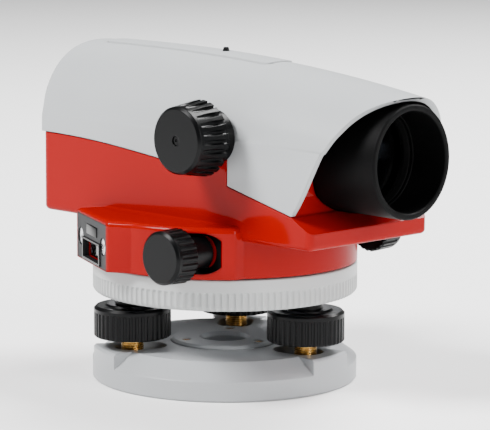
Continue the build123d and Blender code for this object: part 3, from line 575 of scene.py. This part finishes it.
@dataclass
class WindowTrim:
    """The raised frame and plain badge of the circle-reading window, with a black box behind it as painted
    shade in the window's recess.
    """

    near: tuple[float, float] = (-4.2, -54.8)
    far: tuple[float, float] = (-36.9, -39.6)
    frame_u: float = 10.6
    frame_inner_u: float = 9.4
    frame_z: Reach = (44.7, 52.7)
    frame_inner_z: Reach = (45.5, 51.9)
    frame_d: Reach = (-0.3, 0.35)
    badge_u: Reach = (-5.6, 6.5)
    badge_z: Reach = (54.4, 58.0)
    badge_d: Reach = (-0.3, 0.2)
    badge_edge: float = 0.2
    well_rail_u: float = 8.5
    well_jamb_u: Reach = (8.1, 8.48)
    well_z: Reach = (45.72, 51.68)
    well_inner_z: Reach = (46.1, 51.3)
    well_d: Reach = (-9.0, -4.2)
    back_z: Reach = (45.8, 51.6)
    back_d: Reach = (-9.2, -8.9)
    collar_u: Reach = (8.38, 9.28)
    collar_jamb_z: Reach = (45.64, 51.76)
    collar_z: Reach = (45.62, 51.78)
    collar_inner_z: Reach = (45.86, 51.54)
    collar_d: Reach = (-1.59, -1.35)

    def axes(self) -> tuple[Vector, Vector, Vector]:
        """Work out the window's middle, the way along it and the way out of it."""
        near, far = Vector((*self.near, 0)) * MM, Vector((*self.far, 0)) * MM
        along = (near - far).normalized()
        return (near + far) / 2, along, along.cross(Vector((0, 0, 1)))

    def slab(self, shape: bmesh.types.BMesh, u: Reach, z: Reach, d: Reach) -> None:
        """Add one box in the window's own axes, in millimetres.

        Args:
            shape: The bmesh it is added to.
            u: Its reach along the window.
            z: Its reach in height.
            d: Its reach outward from the window's face.
        """
        middle, along, out = self.axes()
        made = bmesh.ops.create_cube(shape, size=1.0)["verts"]
        centre = middle + along * sum(u) / 2 * MM + out * sum(d) / 2 * MM
        centre.z = sum(z) / 2 * MM
        sides = (along * (u[1] - u[0]) * MM, out * (d[1] - d[0]) * MM, Vector((0, 0, (z[1] - z[0]) * MM)))
        turn = Matrix(sides).transposed().to_4x4()
        bmesh.ops.transform(shape, matrix=Matrix.Translation(centre) @ turn, verts=made)

    def rails(self, shape: bmesh.types.BMesh, half: float, z: Reach, inner_z: Reach, d: Reach) -> None:
        """Add the slabs above and below an opening.

        Args:
            shape: The bmesh they are added to.
            half: Half their length.
            z: Their outer edges' heights.
            inner_z: The opening's reach in height.
            d: Their reach outward from the window's face.
        """
        self.slab(shape, (-half, half), (inner_z[1], z[1]), d)
        self.slab(shape, (-half, half), (z[0], inner_z[0]), d)

    def jambs(self, shape: bmesh.types.BMesh, u: Reach, z: Reach, d: Reach) -> None:
        """Add the slabs at both ends of an opening.

        Args:
            shape: The bmesh they are added to.
            u: Their inner and outer distance from the window's middle.
            z: Their reach in height.
            d: Their reach outward from the window's face.
        """
        inner, outer = u
        self.slab(shape, (-outer, -inner), z, d)
        self.slab(shape, (inner, outer), z, d)

    def build(self) -> None:
        """Build the frame, the badge and the black box of painted shade behind the window."""
        border = bmesh.new()
        self.rails(border, self.frame_u, self.frame_z, self.frame_inner_z, self.frame_d)
        self.jambs(border, (self.frame_inner_u, self.frame_u), self.frame_inner_z, self.frame_d)
        finish_piece("window_frame", border, "black_plastic", "alidade")
        badge = bmesh.new()
        self.slab(badge, self.badge_u, self.badge_z, self.badge_d)
        edges = list(badge.edges)
        width = self.badge_edge * MM
        bmesh.ops.bevel(badge, geom=edges, offset=width, segments=2, profile=0.5, affect="EDGES", material=-1)
        finish_piece("window_badge", badge, "black_plastic", "alidade")
        # the well's slabs, collar and back plate are black paint as painted shade in the window's recess
        well = bmesh.new()
        self.rails(well, self.well_rail_u, self.well_z, self.well_inner_z, self.well_d)
        self.jambs(well, self.well_jamb_u, self.well_inner_z, self.well_d)
        self.slab(well, (-self.well_jamb_u[1], self.well_jamb_u[1]), self.back_z, self.back_d)
        self.jambs(well, self.collar_u, self.collar_jamb_z, self.collar_d)
        self.rails(well, self.collar_u[1], self.collar_z, self.collar_inner_z, self.collar_d)
        finish_piece("window_shade_box", well, "black_paint", "alidade")


@dataclass
class DriveSlotShade:
    """Painted shade in the two slots that the side knobs' sleeves pass through: black sheets that darken the
    bores where shade falls.
    """

    middle_x: float = 26.7
    spread: float = 2.7
    height: float = 53.0
    radius: float = 7.15
    sleeve: float = 5.72
    depth: float = 36.5
    right_face: float = 50.4
    left_face: float = 48.1
    points: int = 48

    def loops(self, side: int) -> list[list[tuple[float, float, float]]]:
        """Work out the three loops of a painted-shade sheet, from the sleeve out to the drum's face.

        Args:
            side: -1 for the right side of the instrument, 1 for the left.

        Returns:
            The points of each loop, in millimetres.
        """
        made: list[list[tuple[float, float, float]]] = [[], [], []]
        face = self.right_face if side < 0 else self.left_face
        end = math.sqrt(face**2 - self.depth**2)
        for index in range(self.points):
            turn = 2 * math.pi * (index + 0.5) / self.points
            middle = self.middle_x + (self.spread if math.cos(turn) > 0 else 0)
            across, up = math.cos(turn), math.sin(turn)
            x, z = min(middle + self.radius * across, end), self.height + self.radius * up
            sleeve_x, sleeve_z = self.middle_x + self.sleeve * across, self.height + self.sleeve * up
            made[0].append((sleeve_x, side * self.depth, sleeve_z))
            made[1].append((x, side * self.depth, z))
            made[2].append((x, side * math.sqrt(face**2 - x**2), z))
        return made

    def build(self) -> None:
        """Build both painted-shade sheets."""
        for name, side in (("drive_slot_shade_right", -1), ("drive_slot_shade_left", 1)):
            shape = bmesh.new()
            rings = [[shape.verts.new(Vector(point) * MM) for point in loop] for loop in self.loops(side)]
            for inner, outer in zip(rings, rings[1:]):
                for index in range(self.points):
                    after = (index + 1) % self.points
                    shape.faces.new((inner[index], inner[after], outer[after], outer[index]))
            # black paint here is painted shade in the slot, standing in for the shadow deep in the bore
            finish_piece(name, shape, "black_paint", "alidade")


@dataclass
class LevelBubble:
    """The bubble and the centring circle of the circular level."""

    place: tuple[float, float] = (-41.0, 43.5)
    top: float = 78.6
    radius: float = 2.3
    ring: float = 3.3
    ring_width: float = 0.35
    axis_gap: float = 0.001

    def build(self) -> None:
        """Build the bubble and the printed circle."""
        centre = Vector((self.place[0] * MM, self.place[1] * MM, 0))
        shoulder = self.radius * 0.7
        upper = [(self.axis_gap, self.top + 0.06), (shoulder, self.top + 0.03), (self.radius, self.top - 0.3)]
        lower = [(shoulder, self.top - 0.6), (self.axis_gap, self.top - 0.7)]
        finish_piece("level_bubble", spun(upper + lower, centre, 40), "lens_glass", "alidade")
        low, high = self.top - 0.25, self.top + 0.02
        outer = self.ring + self.ring_width
        circle = spun([(self.ring, low), (outer, low), (outer, high), (self.ring, high)], centre, 48)
        finish_piece("level_circle", circle, "black_plastic", "alidade")


# ---------------------------------------------------------------- studio


@dataclass
class Studio:
    """The pale floor, the soft lights and the camera."""

    floor_size: float = 6.0
    white: float = 0.9
    azimuth: float = 44.707
    elevation: float = 8.594
    distance: float = 0.89223
    target: tuple[float, float, float] = (0.010095, 0.0, 0.06029)
    roll: float = 0.333
    lens: float = 180.87
    sensor: float = 36.0
    world: float = 0.16

    def camera(self) -> bpy.types.Object:
        """Set the camera at its place round the object.

        Returns:
            The camera object.
        """
        turn, lift = math.radians(self.azimuth), math.radians(self.elevation)
        away = Vector((math.sin(turn) * math.cos(lift), -math.cos(turn) * math.cos(lift), math.sin(lift)))
        place = Vector(self.target) + away * self.distance
        right = away.cross(Vector((0, 0, -1))).normalized()
        up = away.cross(right)
        tilt = math.radians(self.roll)
        image_right = right * math.cos(tilt) + up * math.sin(tilt)
        image_up = up * math.cos(tilt) - right * math.sin(tilt)
        data = bpy.data.cameras.new("camera")
        data.lens = self.lens
        data.sensor_width = self.sensor
        data.clip_start = 0.01
        camera = bpy.data.objects.new("camera", data)
        frame_axes = Matrix((image_right, image_up, away)).transposed().to_4x4()
        camera.matrix_world = Matrix.Translation(place) @ frame_axes
        bpy.context.scene.collection.objects.link(camera)
        bpy.context.scene.camera = camera
        return camera

    def floor(self) -> bpy.types.Object:
        """Lay the plain pale floor.

        Returns:
            The floor object.
        """
        mesh = bpy.data.meshes.new("floor")
        shape = bmesh.new()
        bmesh.ops.create_grid(shape, x_segments=1, y_segments=1, size=self.floor_size)
        shape.to_mesh(mesh)
        shape.free()
        floor = bpy.data.objects.new("floor", mesh)
        bpy.context.scene.collection.objects.link(floor)
        material = bpy.data.materials.new("floor")
        material.use_nodes = True
        shader = material.node_tree.nodes["Principled BSDF"]
        shader.inputs["Base Color"].default_value = (self.white, self.white, self.white, 1)
        shader.inputs["Roughness"].default_value = 0.9
        shader.inputs["Specular IOR Level"].default_value = 0.1
        mesh.materials.append(material)
        return floor

    def light(self, name: str, place: Vector, size: float, power: float) -> bpy.types.Object:
        """Hang one square soft box that faces the instrument.

        Args:
            name: The light's name.
            place: Where it hangs.
            size: The length of its side.
            power: Its power in watts.

        Returns:
            The light object.
        """
        data = bpy.data.lights.new(name, "AREA")
        data.size = size
        data.energy = power
        lamp = bpy.data.objects.new(name, data)
        lamp.location = place
        lamp.rotation_euler = (place - Vector(self.target)).to_track_quat("Z", "Y").to_euler()
        bpy.context.scene.collection.objects.link(lamp)
        return lamp

    def build(self) -> None:
        """Set up the whole studio."""
        self.camera()
        self.floor()
        self.light("key", Vector((-0.5, -1.2, 1.5)), size=0.7, power=95.0)
        self.light("fill", Vector((1.7, -0.1, 0.7)), size=0.9, power=30.0)
        self.light("back", Vector((0.1, 1.2, 1.6)), size=1.0, power=95.0)
        world = bpy.data.worlds.new("studio")
        world.use_nodes = True
        sky = world.node_tree.nodes["Background"]
        sky.inputs["Color"].default_value = (1, 1, 1, 1)
        sky.inputs["Strength"].default_value = self.world
        bpy.context.scene.world = world
        LOG.info("studio ready")


def main() -> None:
    """Build the finishes and pieces in order and set up the studio."""
    logging.basicConfig(level=logging.INFO, format="%(message)s")
    prepare_materials()
    dress_cad()
    SettingRing().build()
    for key, angle in FOOT_ANGLES.items():
        SpindleThread(key, angle).build()
    WindowTrim().build()
    DriveSlotShade().build()
    LevelBubble().build()
    Studio().build()


if __name__ == "__main__":
    main()
